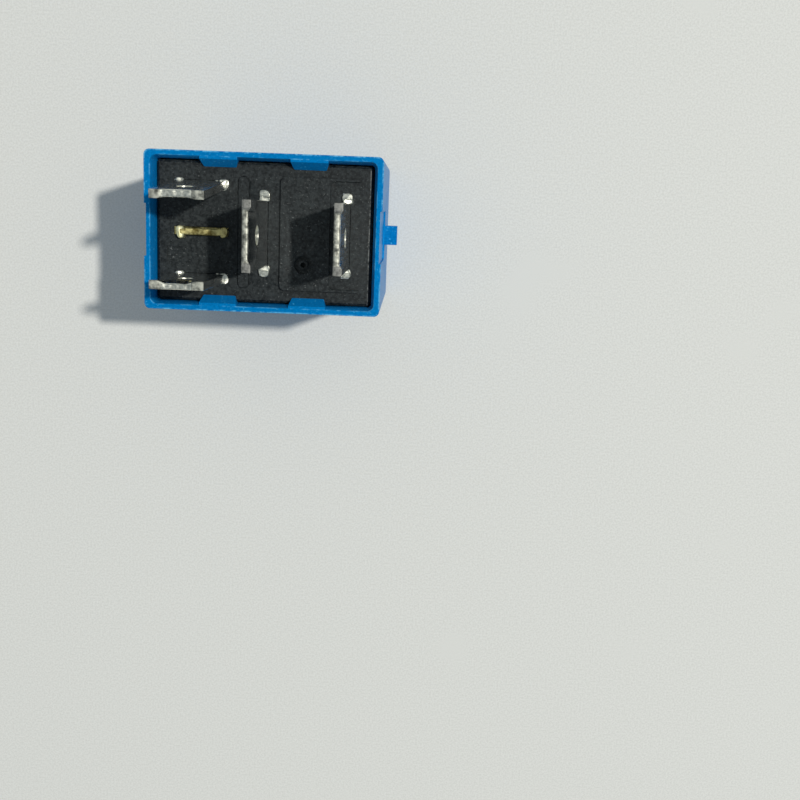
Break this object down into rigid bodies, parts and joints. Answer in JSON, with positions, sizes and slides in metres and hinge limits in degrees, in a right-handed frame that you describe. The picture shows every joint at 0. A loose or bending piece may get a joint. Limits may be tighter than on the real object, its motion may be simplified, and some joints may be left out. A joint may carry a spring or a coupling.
{
  "type": "plug-in power relay",
  "caption": "Small plug-in power relay: a blue cover clipped over a coil, armature and contacts, with tinned blade terminals in a dark base.",
  "frame": {"origin": "on the closed top, below the middle of the cover, at the centre of the footprint", "axes": "+Z from the closed top to the blade tips, +X towards the common terminal, +Y across the cover"},
  "size_m": [0.0254, 0.0152, 0.0347],
  "materials": {
    "cover_plastic": "saturated blue moulding, fine satin texture",
    "base_plastic": "dark grey glass-filled moulding, matt",
    "tinned_metal": "bright tinned stamping",
    "bare_brass": "bare stamped brass",
    "bobbin_plastic": "natural moulding, matt",
    "copper_wire": "enamelled copper wire",
    "soft_iron": "plated soft iron",
    "spring_bronze": "rolled spring bronze",
    "rivet_metal": "bright plated",
    "contact_silver": "silver alloy, satin",
    "resistor_coat": "dipped coat, half gloss"
  },
  "bodies": {
    "relay_frame": {"cover": "cover_plastic", "base": "base_plastic", "common_terminal": "tinned_metal", "make_terminal": "tinned_metal", "upper_coil_terminal": "tinned_metal", "lower_coil_terminal": "tinned_metal", "back_stop": "bare_brass", "bobbin": "bobbin_plastic", "coil_winding": "copper_wire", "coil_lead_wires": "copper_wire", "iron_core": "soft_iron", "yoke": "soft_iron", "contact_spring": "spring_bronze", "spring_rivets": "rivet_metal", "fixed_contact": "contact_silver", "resistor_body": "resistor_coat", "resistor_leads": "rivet_metal"},
    "armature_group": {"armature": "soft_iron", "armature_rivets": "rivet_metal", "moving_contact": "contact_silver"}
  },
  "joints": [
    {"name": "armature_pivot", "type": "hinge", "parent": "relay_frame", "child": "armature_group", "pos_m": [0.00707, 0, 0.0049], "axis": [0, 1, 0], "range_deg": [0, 3.6], "stiffness_Nm_per_rad": 0.02, "springref_deg": -11.46, "deforming": ["contact_spring"]}
  ]
}
